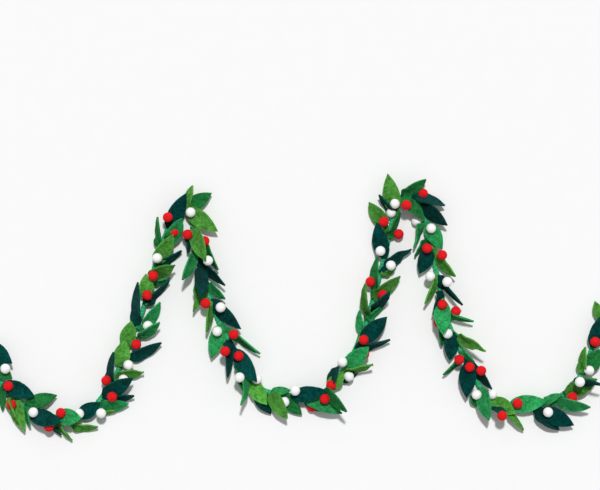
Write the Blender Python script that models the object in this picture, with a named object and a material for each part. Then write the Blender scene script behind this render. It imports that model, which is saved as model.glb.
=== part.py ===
"""A felt garland: a wound wool cord, sewn all along with felt leaves and felt berries.

It lies in waves on a flat surface.  One to four leaves and their berries are
sewn down at one place of the cord and make one sprig.  Most leaves point along
the cord, and their tips lie over the foot of the next sprig, like shingles.
"""

import math
from collections import namedtuple

import bmesh
import bpy
from mathutils import Vector
from mathutils.bvhtree import BVHTree

NAME = "felt_garland"

# Driving sizes, in metres
CORD_RADIUS = 0.0040
LEAF_WIDTH = 0.0250
LEAF_LENGTH = 0.0460
FELT = 0.0030
BERRY_RADIUS = 0.0073
FLOOR_GAP = 0.0002
MM = 0.001

# The plan is laid out on a grid, x to the right and y towards the garland's foot
GRID = 0.00145
GRID_MIDDLE = (295.08, 307.24)

# The cord's section is an octagon that stands on one of its flats
CORD_SIDES = 8
CORD_AXIS_HEIGHT = CORD_RADIUS * math.cos(math.pi / CORD_SIDES)
CORD_TOP = 2.0 * CORD_AXIS_HEIGHT
POINTS_PER_SPAN = 2
WALK_STEPS = 12

# The leaf's outline: shares of its length and width
FULLEST = 0.42
ROUNDNESS = 0.55
FOOT_SHARE = 0.30
TIP_SHARE = 0.10
SMALLEST = 0.60
STATIONS = (0.0, 0.16, 0.42, 0.72, 1.0)
STALK_LIMIT = 0.18
STEEP_ROLL = 50

# The leaf's form: it twists to its roll beyond its foot, and its rims turn up
CORNER = 0.10
TWIST_OVER = 0.34
CUP = 0.15
CUP_OVER = 0.25
SLOPE_STEP = 0.01

BERRY_SINK = 0.0013
BERRY_SEGMENTS = 8
BERRY_RINGS = 4
BERRY_DROP = 0.045
BERRY_DROP_STEP = 0.0002

# A leaf is bent up, or swung aside, until it clears what it lies over
CLEARANCE = 0.0005
FOOT_GAP = 0.0006
FREE_FROM = 0.42
TIP_STEP = 0.0012
TIP_LIFTS = 26
SWINGS = (0, 5, -5, 10, -10, 15, -15)
SWING_EFFORT = 0.0006
FOOT_STEP = 0.0011
FOOT_LIFTS = 6

WELD = 0.00001
SHARP_ANGLE = math.radians(50)

FELTS = {
    "teal": (0.006, 0.085, 0.080),
    "emerald": (0.035, 0.330, 0.120),
    "kelly": (0.020, 0.210, 0.055),
    "grass": (0.085, 0.370, 0.065),
    "red": (0.780, 0.012, 0.018),
    "white": (0.900, 0.900, 0.880),
    "cord": (0.040, 0.500, 0.230),
}
FELT_ROUGHNESS = 0.95

# The cord's route on the plan grid
ROUTE = (
    (-20, 345), (6, 388), (30, 409), (60, 420), (84, 416), (102, 397), (117, 373),
    (127, 345), (141, 316), (151, 280), (162, 245), (172, 220), (179, 210), (187, 209),
    (192, 221), (195, 248), (217, 317), (233, 348), (248, 379), (266, 391), (297, 396),
    (318, 396), (335, 381), (352, 356), (365, 325), (375, 293), (384, 258), (399, 200),
    (411, 195), (422, 206), (429, 236), (438, 280), (449, 325), (468, 364), (489, 398),
    (524, 406), (560, 396), (582, 373), (594, 342), (610, 300),
)

# One row for each leaf: its sprig, where its blade begins and ends on the plan
# grid, its roll in degrees (left edge up), the least height of its tip in
# millimetres, its sideways bend in grid steps (to the left) and its felt
Leaf = namedtuple("Leaf", "sprig base_x base_y tip_x tip_y roll height bend felt")

FIRST_RISE = (
    Leaf(1, -12, 344, 13.5, 363, 5, 22, 0, "teal"),
    Leaf(1, -6, 364, 12, 380, 12, 12, 0, "kelly"),
    Leaf(2, 3, 388, 34, 401, -8, 18, 0, "teal"),
    Leaf(2, 0, 388, 5, 410, 55, 7, 0, "kelly"),
    Leaf(3, 12, 401, 30.5, 428, 35, 11, 0, "grass"),
    Leaf(3, 9, 399, 19, 418, 75, 8, 0, "grass"),
    Leaf(4, 31, 414, 63, 421, 0, 16, 0, "teal"),
    Leaf(4, 29, 403, 57.5, 395, -35, 10, 0, "kelly"),
    Leaf(4, 25, 405, 31, 426, 70, 15, 0, "emerald"),
    Leaf(5, 58, 416, 83, 417, -10, 18, 0, "emerald"),
    Leaf(5, 48, 422, 62, 435, 75, 8, 0, "teal"),
    Leaf(5, 57, 424, 73, 440, 76, 10, 0, "grass"),
    Leaf(6, 79, 416, 103, 406, 12, 17, 0, "teal"),
    Leaf(6, 73, 427, 98, 422, 62, 7, 0, "grass"),
    Leaf(7, 101, 406, 127.5, 396, 42, 12, 0, "emerald"),
    Leaf(7, 99, 413, 116, 410, 68, 8, 0, "grass"),
    Leaf(8, 107, 393, 134, 377, 30, 18, 0, "teal"),
    Leaf(8, 110, 399, 133, 389, 62, 7, 0, "teal"),
    Leaf(9, 110, 384, 117, 352, -66, 14, 0, "teal"),
    Leaf(9, 117, 375, 144, 369.5, 58, 10, 0, "grass"),
    Leaf(10, 122, 368, 126, 339.5, 0, 15, 0, "grass"),
    Leaf(10, 130, 359, 158.5, 337, 52, 9, 0, "teal"),
    Leaf(11, 131, 348, 132, 320.5, 0, 17, 0, "grass"),
    Leaf(11, 140, 337, 156, 317, 62, 8, 0, "emerald"),
    Leaf(12, 144, 328, 160.5, 302, 55, 12, 0, "emerald"),
    Leaf(12, 140, 319, 138.5, 282, -60, 10, 0, "teal"),
    Leaf(13, 148, 299, 153, 274, 0, 20, 0, "grass"),
    Leaf(13, 150, 305, 170, 280, 73, 10, 0, "teal"),
    Leaf(14, 150, 276, 176, 265, 50, 16, 0, "grass"),
    Leaf(14, 154, 284, 170, 278, 66, 7, 0, "emerald"),
    Leaf(15, 158, 261, 169, 232, 32, 16, 0, "grass"),
    Leaf(15, 162, 264, 178, 246, 66, 8, 0, "teal"),
    Leaf(16, 158, 246, 158, 217, -75, 10, 0, "kelly"),
    Leaf(16, 168, 244, 189, 223, 32, 12, 0, "emerald"),
    Leaf(17, 169, 224, 186.5, 193.5, 26, 22, 0, "teal"),
    Leaf(17, 169, 229, 184, 216, 68, 8, 0, "teal"),
    Leaf(18, 187, 211, 218, 231.5, 16, 16, 0, "grass"),
    Leaf(18, 190, 208, 212, 193, 8, 11, 0, "kelly"),
    Leaf(18, 186, 208, 193, 185.5, -56, 13, 0, "grass"),
)

FIRST_FALL = (
    Leaf(19, 187, 229, 206.5, 261, 35, 14, 0, "grass"),
    Leaf(19, 188, 236, 190, 253, -66, 8, 0, "teal"),
    Leaf(20, 203, 243, 218.5, 270, 66, 10, 0, "kelly"),
    Leaf(20, 195, 255, 190, 282, -60, 10, 0, "emerald"),
    Leaf(21, 201, 268, 194, 297, -42, 12, 0, "teal"),
    Leaf(21, 204, 259, 218, 290, 64, 10, 0, "teal"),
    Leaf(22, 204, 279, 195, 312, -38, 15, 0, "grass"),
    Leaf(22, 208, 284, 221, 303, 56, 10, 0, "emerald"),
    Leaf(23, 213, 305, 239, 331, 40, 14, 0, "teal"),
    Leaf(23, 208, 300, 207, 332, -72, 8, 0, "grass"),
    Leaf(24, 219, 326, 217, 358.5, -26, 14, 0, "emerald"),
    Leaf(24, 229, 330, 253, 361, 72, 8, 0, "emerald"),
    Leaf(25, 235, 350, 254.5, 383, 20, 20, 0, "teal"),
    Leaf(25, 228, 342, 228, 377, -68, 8, 0, "teal"),
    Leaf(26, 237, 366, 244, 390, -70, 6, -3, "kelly"),
    Leaf(26, 243, 375, 242, 404.5, -75, 10, 2, "emerald"),
    Leaf(27, 252, 381, 269, 403, 0, 14, 0, "grass"),
    Leaf(27, 256, 391, 271, 414, -18, 5, 0, "teal"),
)

VALLEY = (
    Leaf(28, 271, 391, 287.5, 418, 35, 11, 0, "grass"),
    Leaf(28, 271, 390, 291, 390, -50, 8, 0, "emerald"),
    Leaf(29, 291, 393, 326, 389.5, 24, 17, 0, "teal"),
    Leaf(30, 282, 398, 302, 415, 14, 6, 0, "kelly"),
    Leaf(31, 308, 399, 342, 413, -38, 13, 0, "emerald"),
    Leaf(31, 323, 392, 344.5, 412.5, 60, 15, 3, "kelly"),
    Leaf(31, 303, 401, 322, 411, 12, 4, 0, "teal"),
)

SECOND_RISE = (
    Leaf(32, 328, 388, 345, 373, 12, 14, 0, "grass"),
    Leaf(32, 330, 383, 338.5, 365.5, -60, 10, 0, "teal"),
    Leaf(33, 342, 381, 359, 370, 62, 6, 0, "teal"),
    Leaf(33, 346, 371, 372, 361.5, 75, 12, 0, "grass"),
    Leaf(34, 343, 365, 368.5, 346, 6, 18, 0, "emerald"),
    Leaf(35, 361, 341, 386.7, 316.5, 14, 20, 0, "teal"),
    Leaf(35, 361, 348, 390, 339.5, 75, 12, 0, "teal"),
    Leaf(35, 357, 355, 369, 354, 62, 6, 0, "grass"),
    Leaf(35, 361, 333, 359.5, 310, -62, 12, 0, "emerald"),
    Leaf(36, 367, 313, 365, 282.6, -75, 10, 1, "grass"),
    Leaf(36, 371, 320, 385, 303, 66, 8, 0, "emerald"),
    Leaf(36, 374, 308, 388.8, 290.7, 64, 8, 0, "teal"),
    Leaf(37, 376, 298, 400, 276, 46, 16, 0, "grass"),
    Leaf(37, 373, 288, 377.5, 256.6, -68, 10, 0, "kelly"),
    Leaf(38, 386, 268, 411, 248.4, 56, 14, 2, "teal"),
    Leaf(38, 385, 275, 396, 266, 66, 6, 0, "grass"),
    Leaf(39, 383, 258, 386, 222, -26, 16, 0, "teal"),
    Leaf(40, 386, 226, 368.7, 202.3, -36, 13, 0, "grass"),
    Leaf(40, 394, 238, 399.8, 209.8, 72, 10, 0, "kelly"),
    Leaf(41, 394, 211, 390.6, 173.3, 0, 16, 0, "grass"),
    Leaf(41, 392, 214, 382, 193, -70, 10, 0, "teal"),
)

SECOND_FALL = (
    Leaf(42, 401, 195, 425.5, 179.5, 52, 12, 0, "kelly"),
    Leaf(42, 415, 196, 442.5, 210.6, -58, 13, 0, "teal"),
    Leaf(42, 406, 200, 424, 220, -48, 8, 0, "kelly"),
    Leaf(43, 424, 202, 440, 230.5, 42, 12, 0, "teal"),
    Leaf(44, 427, 227, 442, 249, 6, 14, 0, "emerald"),
    Leaf(44, 421, 224, 414.3, 248, -74, 9, -1, "emerald"),
    Leaf(45, 430, 247, 419, 273.6, -20, 14, 0, "teal"),
    Leaf(45, 436, 257, 455, 276.5, 62, 10, 0, "grass"),
    Leaf(45, 424, 240, 419.2, 258.7, -72, 8, 0, "kelly"),
    Leaf(46, 432, 276, 429, 304.6, -70, 10, 0, "grass"),
    Leaf(46, 442, 280, 461.7, 305, 77, 12, 0, "teal"),
    Leaf(47, 441, 300, 451, 333, 0, 18, 0, "emerald"),
    Leaf(47, 438, 292, 436.3, 315.2, -66, 8, 0, "teal"),
    Leaf(48, 450, 313, 473.2, 321, 76, 14, 0, "emerald"),
    Leaf(48, 441, 320, 443.5, 346, -64, 8, 0, "kelly"),
    Leaf(49, 451, 332, 449.2, 360, -24, 14, 0, "teal"),
    Leaf(49, 457, 338, 483.7, 352, 58, 13, 1, "grass"),
    Leaf(50, 468, 361, 465.8, 397.4, 0, 18, 0, "teal"),
    Leaf(50, 462, 352, 473, 363, 62, 8, 0, "emerald"),
    Leaf(50, 460, 358, 443, 375, -74, 12, 0, "kelly"),
    Leaf(50, 476, 367, 491, 388.8, 66, 12, 0, "teal"),
)

LAST_WAVE = (
    Leaf(51, 481, 389, 487.8, 419.4, 38, 14, 0, "emerald"),
    Leaf(51, 472, 394, 475.8, 407, -40, 6, 0, "kelly"),
    Leaf(52, 493, 396, 515, 413, 4, 14, 0, "grass"),
    Leaf(52, 493, 406, 505, 416.5, -62, 6, 0, "teal"),
    Leaf(53, 514, 406, 546.7, 403.2, 0, 14, 0, "emerald"),
    Leaf(53, 508, 413, 523.2, 430, -70, 9, 0, "grass"),
    Leaf(54, 541, 410, 574.4, 421.8, 4, 16, 0, "teal"),
    Leaf(54, 535, 413, 560, 427.5, -48, 8, 0, "teal"),
    Leaf(55, 543, 402, 561, 393.6, -58, 10, 0, "emerald"),
    Leaf(55, 557, 402, 589, 398, 50, 8, 0, "emerald"),
    Leaf(56, 566, 394, 596.4, 378.5, 14, 16, 0, "grass"),
    Leaf(56, 574, 382, 600, 376, 70, 14, 2, "teal"),
    Leaf(57, 584, 372, 602, 348, 8, 18, 0, "kelly"),
    Leaf(57, 582, 373.5, 590.7, 347.7, -70, 10, 0, "grass"),
    Leaf(58, 593, 347, 602, 314, 14, 18, 0, "teal"),
    Leaf(59, 601, 320, 594, 301, -30, 12, 0, "grass"),
)

LEAVES = FIRST_RISE + FIRST_FALL + VALLEY + SECOND_RISE + SECOND_FALL + LAST_WAVE

# One row for each berry: its sprig, the leaf of that sprig which it sits on,
# counted from 0, its place on the plan grid and its felt
Berry = namedtuple("Berry", "sprig leaf x y felt")

BERRIES = (
    Berry(1, 1, 7, 368, "white"), Berry(2, 0, 9.5, 385.5, "red"),
    Berry(3, 0, 12.5, 404, "red"), Berry(4, 0, 34.5, 411.5, "white"),
    Berry(5, 0, 62, 412, "red"), Berry(5, 1, 50, 426, "red"),
    Berry(6, 0, 80, 413, "white"), Berry(7, 1, 102, 412.5, "white"),
    Berry(8, 1, 113, 396, "red"), Berry(9, 0, 107, 380, "red"),
    Berry(9, 1, 124, 379, "white"), Berry(10, 0, 129, 364.5, "white"),
    Berry(11, 0, 137, 344, "red"), Berry(12, 0, 148.5, 325.5, "white"),
    Berry(13, 0, 148, 295, "red"), Berry(14, 0, 154, 275.5, "red"),
    Berry(15, 0, 158, 258, "white"), Berry(17, 0, 168.5, 217.5, "red"),
    Berry(17, 1, 174.5, 231.5, "red"), Berry(18, 0, 191, 212.5, "white"),
    Berry(19, 0, 188, 234.5, "red"), Berry(20, 0, 205, 241, "red"),
    Berry(21, 1, 208.5, 260.5, "white"), Berry(22, 0, 202.5, 285.5, "red"),
    Berry(23, 0, 221, 307, "white"), Berry(23, 1, 206, 303, "red"),
    Berry(24, 0, 217.5, 331, "white"), Berry(24, 1, 234, 334, "red"),
    Berry(25, 0, 239, 355.5, "red"), Berry(25, 1, 225.5, 350.5, "red"),
    Berry(27, 0, 257.2, 378.7, "white"), Berry(26, 0, 240, 376.5, "white"),
    Berry(30, 0, 284.5, 401.4, "white"), Berry(29, 0, 295.2, 389.8, "white"),
    Berry(31, 2, 312, 406.5, "red"), Berry(31, 1, 324.6, 398.3, "red"),
    Berry(32, 0, 331, 384.5, "red"), Berry(33, 0, 348.8, 376, "white"),
    Berry(34, 0, 342.2, 361.5, "white"), Berry(35, 0, 363.4, 339.5, "red"),
    Berry(35, 2, 364, 353.6, "red"), Berry(37, 0, 382.6, 294.7, "red"),
    Berry(37, 1, 370, 281.8, "red"), Berry(38, 0, 390.5, 265.4, "white"),
    Berry(39, 0, 380.2, 251, "white"), Berry(40, 0, 383.6, 221.8, "red"),
    Berry(40, 1, 398.5, 234, "red"), Berry(41, 0, 394.5, 204, "white"),
    Berry(41, 1, 391, 213, "white"), Berry(42, 1, 422.8, 193.6, "red"),
    Berry(42, 2, 405.7, 205.4, "red"), Berry(44, 0, 430.6, 228.4, "white"),
    Berry(44, 1, 416.3, 221, "white"), Berry(45, 0, 426.5, 248.3, "red"),
    Berry(45, 1, 441.4, 255, "red"), Berry(46, 0, 429.5, 276, "white"),
    Berry(46, 1, 446.2, 281.7, "white"), Berry(47, 0, 441.6, 304.2, "red"),
    Berry(48, 0, 455.2, 311, "red"), Berry(48, 1, 437.8, 322.3, "red"),
    Berry(49, 0, 447, 333.2, "white"), Berry(50, 0, 469, 366.6, "red"),
    Berry(50, 2, 458.4, 359, "red"), Berry(50, 3, 480.4, 370, "red"),
    Berry(51, 0, 475.8, 394, "white"), Berry(52, 0, 491.6, 394, "white"),
    Berry(52, 1, 500.7, 414.6, "red"), Berry(53, 0, 516.7, 402.7, "red"),
    Berry(54, 0, 547.1, 411.5, "white"), Berry(56, 0, 571.2, 396.5, "red"),
    Berry(56, 1, 577.3, 380.7, "white"), Berry(57, 0, 588, 370, "white"),
    Berry(58, 0, 594, 341.5, "red"),
)

# A leaf laid in place: its row, where its sprig is sewn down, and its two heights
Pose = namedtuple("Pose", "row foot foot_height tip_height")
Laid = namedtuple("Laid", "pose balls")


def clear_scene():
    """Remove the objects that the file opened with."""
    for thing in list(bpy.data.objects):
        bpy.data.objects.remove(thing, do_unlink=True)


def felt_material(name):
    """A plain felt of one colour."""
    material = bpy.data.materials.new("felt_" + name)
    material.use_nodes = True
    shader = material.node_tree.nodes["Principled BSDF"]
    shader.inputs["Base Color"].default_value = FELTS[name] + (1.0,)
    shader.inputs["Roughness"].default_value = FELT_ROUGHNESS
    shader.inputs["Metallic"].default_value = 0.0
    material.diffuse_color = FELTS[name] + (1.0,)
    return material


def on_plan(x, y):
    """A place on the plan grid, in metres."""
    return Vector(((x - GRID_MIDDLE[0]) * GRID, (GRID_MIDDLE[1] - y) * GRID))


def smooth_walk(steps):
    """Points along a smooth curve through the route, a number of steps to each span."""
    knots = [on_plan(x, y) for x, y in ROUTE]
    last = len(knots) - 1
    slopes = []
    for index, knot in enumerate(knots):
        before = knots[max(index - 1, 0)]
        after = knots[min(index + 1, last)]
        slopes.append((after - before) / ((knot - before).length + (after - knot).length))
    walk = []
    for index in range(last):
        start, end = knots[index], knots[index + 1]
        reach = (end - start).length
        for step in range(steps):
            t = step / steps
            walk.append(start * (1 + 2 * t) * (1 - t) ** 2 + end * t * t * (3 - 2 * t)
                        + slopes[index] * reach * t * (1 - t) ** 2
                        + slopes[index + 1] * reach * t * t * (t - 1))
    walk.append(knots[last])
    return walk


def mesh_object(name, mesh, collection, material=None):
    """A new object in a collection."""
    thing = bpy.data.objects.new(name, mesh)
    collection.objects.link(thing)
    if material:
        mesh.materials.append(material)
    return thing


def evaluated_mesh(thing):
    """The object's mesh with its modifiers or its bevel worked in."""
    bpy.context.view_layer.update()
    graph = bpy.context.evaluated_depsgraph_get()
    return bpy.data.meshes.new_from_object(thing.evaluated_get(graph), depsgraph=graph)


def make_cord(collection, material):
    """The wound cord, an eight-sided tube along the route, and its search tree."""
    route = smooth_walk(POINTS_PER_SPAN)
    line = bpy.data.curves.new("cord_line", "CURVE")
    line.dimensions = "3D"
    line.twist_mode = "Z_UP"
    line.bevel_depth = CORD_RADIUS
    line.bevel_resolution = CORD_SIDES // 2 - 2
    line.use_fill_caps = True
    spline = line.splines.new("POLY")
    spline.points.add(len(route) - 1)
    for point, place in zip(spline.points, route):
        point.co = (place.x, place.y, CORD_AXIS_HEIGHT, 1.0)
        point.tilt = math.pi / CORD_SIDES
    guide = bpy.data.objects.new("cord_guide", line)
    collection.objects.link(guide)
    mesh = evaluated_mesh(guide)
    bpy.data.objects.remove(guide, do_unlink=True)
    shell = bmesh.new()
    shell.from_mesh(mesh)
    bmesh.ops.remove_doubles(shell, verts=shell.verts[:], dist=WELD)
    bmesh.ops.recalc_face_normals(shell, faces=shell.faces[:])
    shell.to_mesh(mesh)
    entry = laid_entry(shell)
    shell.free()
    smooth_round(mesh)
    mesh_object("cord", mesh, collection, material)
    return entry


def smooth_round(mesh):
    """Shade the round faces smooth and keep the cut edges sharp."""
    mesh.shade_smooth()
    mesh.set_sharp_from_angle(angle=SHARP_ANGLE)


def ends_of(row):
    """Where a leaf's blade begins and ends."""
    return on_plan(row.base_x, row.base_y), on_plan(row.tip_x, row.tip_y)


def stalk_share(pose):
    """The share of a leaf's length that lies between its foot and its blade's base."""
    base, tip = ends_of(pose.row)
    stalk = (base - pose.foot).length
    share = stalk / (stalk + (tip - base).length)
    return share if share > STALK_LIMIT else 0.0


def blade_share(pose, u):
    """How far along the blade share u of the leaf's length is: 0 or less on its stalk."""
    stalk = stalk_share(pose)
    return (u - stalk) / (1.0 - stalk)


def straight_line(pose, u):
    """The place at share u of the way from the foot past the blade's base to the tip."""
    base, tip = ends_of(pose.row)
    stalk = stalk_share(pose)
    if not stalk:
        return pose.foot.lerp(tip, u)
    if u < stalk:
        return pose.foot.lerp(base, u / stalk)
    return base.lerp(tip, blade_share(pose, u))


def smooth_step(t):
    """A soft step from 0 to 1."""
    t = min(max(t, 0.0), 1.0)
    return t * t * (3.0 - 2.0 * t)


def spine(pose, u):
    """The middle of the leaf at share u of its length."""
    base, tip = ends_of(pose.row)
    corner = min(CORNER, u, 1.0 - u)
    place = sum((straight_line(pose, u + shift) for shift in (-corner, 0.0, corner)),
                Vector((0.0, 0.0))) / 3.0
    left = Vector((base.y - tip.y, tip.x - base.x)).normalized()
    place += left * pose.row.bend * GRID * 4.0 * u * (1.0 - u)
    rise = pose.tip_height - pose.foot_height
    s = max(blade_share(pose, u), 0.0)
    ease = s * (2.0 - s) if rise > 0.0 else smooth_step(s)
    return Vector((place.x, place.y, pose.foot_height + rise * ease))


def leaf_frame(pose, u):
    """The leaf's middle at share u, and the unit vectors across it and off its face."""
    ahead = spine(pose, min(u + SLOPE_STEP, 1.0))
    behind = spine(pose, max(u - SLOPE_STEP, 0.0))
    along = (ahead - behind).normalized()
    left = Vector((-along.y, along.x, 0.0)).normalized()
    roll = math.radians(pose.row.roll) * smooth_step(u / (stalk_share(pose) + TWIST_OVER))
    across = left * math.cos(roll) + along.cross(left) * math.sin(roll)
    return spine(pose, u), across, along.cross(across)


def half_width(pose, u):
    """Half the leaf's width at share u: a narrow stalk, a round base and a pointed tip."""
    base, tip = ends_of(pose.row)
    length = math.hypot((tip - base).length, pose.tip_height)
    size = 0.5 * LEAF_WIDTH * min(max(length / LEAF_LENGTH, SMALLEST), 1.0)
    s = min(max(blade_share(pose, u), 0.0), 1.0)
    taper = ROUNDNESS * (1.0 - FULLEST) / FULLEST
    outline = (s / FULLEST) ** ROUNDNESS * ((1.0 - s) / (1.0 - FULLEST)) ** taper
    return size * max(outline, FOOT_SHARE if s < FULLEST else TIP_SHARE)


def leaf_point(pose, u, v, layer):
    """A point of the leaf: share u of its length, v across it, layer off its middle."""
    middle, across, off = leaf_frame(pose, u)
    half = half_width(pose, u)
    cup = CUP * half * v * v * smooth_step(u / CUP_OVER)
    return middle + across * v * half + off * (cup + layer)


def leaf_shell(pose, first=0.0, margin=0.0):
    """The leaf as a closed shell: a flat slab of felt, bent to the leaf's form."""
    stalk = stalk_share(pose)
    stations = [stalk + (1.0 - stalk) * station for station in STATIONS]
    if stalk:
        stations.insert(0, 0.0)
    stations = [station for station in stations if station >= first]
    spans = len(stations) - 1
    strips = 1 if abs(pose.row.roll) > STEEP_ROLL else 2
    shell = bmesh.new()
    bmesh.ops.create_grid(shell, x_segments=spans, y_segments=strips, size=1.0)
    raised = bmesh.ops.extrude_face_region(shell, geom=shell.faces[:])["geom"]
    top = [item for item in raised if isinstance(item, bmesh.types.BMVert)]
    bmesh.ops.translate(shell, verts=top, vec=(0.0, 0.0, 1.0))
    bmesh.ops.recalc_face_normals(shell, faces=shell.faces[:])
    for vert in shell.verts:
        u = stations[round((vert.co.x + 1.0) * 0.5 * spans)]
        vert.co = leaf_point(pose, u, vert.co.y, (vert.co.z - 0.5) * FELT)
    bmesh.ops.triangulate(shell, faces=shell.faces[:], quad_method="FIXED")
    shell.normal_update()
    for vert in shell.verts:
        vert.co += vert.normal * margin
    return shell


def berry_shell(centre, margin=0.0):
    """A felt ball."""
    shell = bmesh.new()
    bmesh.ops.create_uvsphere(shell, u_segments=BERRY_SEGMENTS, v_segments=BERRY_RINGS,
                              radius=BERRY_RADIUS + margin)
    bmesh.ops.translate(shell, verts=shell.verts[:], vec=centre)
    return shell


def berry_centre(berry, leaf_tree):
    """Lower the ball over its place until it sits a little way in its leaf."""
    place = on_plan(berry.x, berry.y)
    centre = Vector((place.x, place.y, BERRY_DROP))
    while centre.z > BERRY_RADIUS + FLOOR_GAP:
        if leaf_tree.find_nearest(centre)[3] < BERRY_RADIUS - BERRY_SINK:
            return centre
        centre.z -= BERRY_DROP_STEP
    return None


def laid_entry(shell):
    """A shell's search tree, and the lowest and highest corners of its box."""
    low = [min(vert.co[axis] for vert in shell.verts) for axis in range(3)]
    high = [max(vert.co[axis] for vert in shell.verts) for axis in range(3)]
    return BVHTree.FromBMesh(shell), low, high


def meets(shell, laid):
    """Whether a shell cuts anything in a list of laid entries."""
    tree, low, high = laid_entry(shell)
    near = [other for other, other_low, other_high in laid
            if all(low[axis] < other_high[axis] and other_low[axis] < high[axis]
                   for axis in range(3))]
    return any(tree.overlap(other) for other in near)


def folds_into_itself(shell):
    """Whether faces of one shell that share no corner cut each other."""
    shell.faces.ensure_lookup_table()
    tree = BVHTree.FromBMesh(shell)
    corners = [set(face.verts) for face in shell.faces]
    return any(not corners[one] & corners[other] for one, other in tree.overlap(tree))


def lay_if_clear(pose, berries, laid, sisters):
    """The leaf with its berries in one pose, or nothing where it is not clear."""
    plain = leaf_shell(pose)
    padded = leaf_shell(pose, margin=CLEARANCE)
    if min(vert.co.z for vert in padded.verts) < CLEARANCE - FLOOR_GAP or meets(padded, laid):
        return None
    if meets(leaf_shell(pose, first=FREE_FROM, margin=CLEARANCE), sisters):
        return None
    if folds_into_itself(plain):
        return None
    tree = BVHTree.FromBMesh(plain)
    balls = []
    for berry in berries:
        centre = berry_centre(berry, tree)
        if centre is None or meets(berry_shell(centre, CLEARANCE), laid + sisters):
            return None
        balls.append((centre, berry.felt))
    return Laid(pose, balls)


def swung(row, degrees):
    """The row with its tip swung round its base."""
    turn = math.radians(degrees)
    reach_x = row.tip_x - row.base_x
    reach_y = row.tip_y - row.base_y
    return row._replace(
        tip_x=row.base_x + reach_x * math.cos(turn) - reach_y * math.sin(turn),
        tip_y=row.base_y + reach_x * math.sin(turn) + reach_y * math.cos(turn))


def poses_by_effort(row, foot, foot_height):
    """The poses that a leaf may take, the least bent and least swung first."""
    choices = []
    for swing in SWINGS:
        for lift in range(TIP_LIFTS):
            effort = lift * TIP_STEP + abs(swing) * SWING_EFFORT
            tip_height = row.height * MM + lift * TIP_STEP
            choices.append((effort, Pose(swung(row, swing), foot, foot_height, tip_height)))
    return [pose for effort, pose in sorted(choices, key=lambda choice: choice[0])]


def lay_leaf(index, row, foot, foot_height, laid, sisters):
    """The leaf in the first of its poses that is clear of all that is laid."""
    berries = [berry for berry in BERRIES if (berry.sprig, berry.leaf) == (row.sprig, index)]
    for pose in poses_by_effort(row, foot, foot_height):
        form = lay_if_clear(pose, berries, laid, sisters)
        if form:
            return form
    return None


def lay_sprig(rows, foot, laid):
    """All leaves of a sprig, on the lowest foot that lets each of them lie clear."""
    for lift in range(FOOT_LIFTS):
        foot_height = CORD_TOP + FOOT_GAP + 0.5 * FELT + lift * FOOT_STEP
        forms = []
        sisters = []
        for index, row in enumerate(rows):
            form = lay_leaf(index, row, foot, foot_height, laid, sisters)
            if not form:
                break
            forms.append(form)
            sisters.append(laid_entry(leaf_shell(form.pose, first=FREE_FROM)))
            sisters += [laid_entry(berry_shell(centre)) for centre, felt in form.balls]
        if len(forms) == len(rows):
            return forms
    raise RuntimeError("sprig %d has no clear place for its leaf %d" % (rows[0].sprig, index))


def face_islands(shell):
    """The faces of each separate surface of a shell."""
    seen = set()
    islands = []
    for first in shell.faces:
        if first in seen:
            continue
        seen.add(first)
        island = [first]
        for face in island:
            for other in (other for edge in face.edges for other in edge.link_faces):
                if other not in seen:
                    seen.add(other)
                    island.append(other)
        islands.append(island)
    return islands


def island_volume(island):
    """Six times the volume inside a closed surface, below 0 where it faces inwards."""
    total = 0.0
    for face in island:
        first, *others = [vert.co for vert in face.verts]
        total += sum(first.dot(one.cross(two)) for one, two in zip(others, others[1:]))
    return total


def fill_hollows(mesh):
    """Fill each hollow that is shut up between the leaves of one sprig."""
    shell = bmesh.new()
    shell.from_mesh(mesh)
    for island in face_islands(shell):
        if island_volume(island) < 0.0:
            bmesh.ops.delete(shell, geom=island, context="FACES")
    shell.to_mesh(mesh)
    shell.free()


def union_mesh(pieces, solver):
    """The mesh of the first piece with all the others joined to it."""
    body = pieces[0]
    body.modifiers.clear()
    for piece in pieces[1:]:
        union = body.modifiers.new("union", "BOOLEAN")
        union.operation = "UNION"
        union.solver = solver
        union.material_mode = "TRANSFER"
        union.object = piece
    return evaluated_mesh(body)


def is_closed(mesh):
    """Whether each edge of a mesh lies between two faces."""
    shell = bmesh.new()
    shell.from_mesh(mesh)
    closed = all(edge.is_manifold for edge in shell.edges)
    shell.free()
    return closed


def joined(name, pieces, collection, cutters):
    """One closed body made of pieces that run into each other."""
    for piece in pieces[1:]:
        collection.objects.unlink(piece)
        cutters.objects.link(piece)
    mesh = union_mesh(pieces, "EXACT")
    if not is_closed(mesh):
        mesh = union_mesh(pieces, "MANIFOLD")
    for piece in pieces:
        bpy.data.objects.remove(piece, do_unlink=True)
    mesh.name = name
    fill_hollows(mesh)
    smooth_round(mesh)
    return mesh_object(name, mesh, collection)


def shell_object(name, shell, collection, material):
    """An object made from a shell."""
    mesh = bpy.data.meshes.new(name)
    shell.to_mesh(mesh)
    shell.free()
    return mesh_object(name, mesh, collection, material)


def make_sprig(number, forms, collection, cutters, felts):
    """One sprig: its leaves and berries, sewn together at the foot."""
    pieces = []
    for pose, balls in forms:
        pieces.append(shell_object("leaf", leaf_shell(pose), collection, felts[pose.row.felt]))
        for centre, felt in balls:
            pieces.append(shell_object("berry", berry_shell(centre), collection, felts[felt]))
    return joined("sprig_%02d" % number, pieces, collection, cutters)


def foot_of(rows, walk):
    """Where a sprig is sewn down: the cord's first point that is nearest to a leaf's base."""
    nearest = []
    for row in rows:
        base, tip = ends_of(row)
        nearest.append(min(range(len(walk)), key=lambda index: (walk[index] - base).length))
    return walk[min(nearest)]


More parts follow.
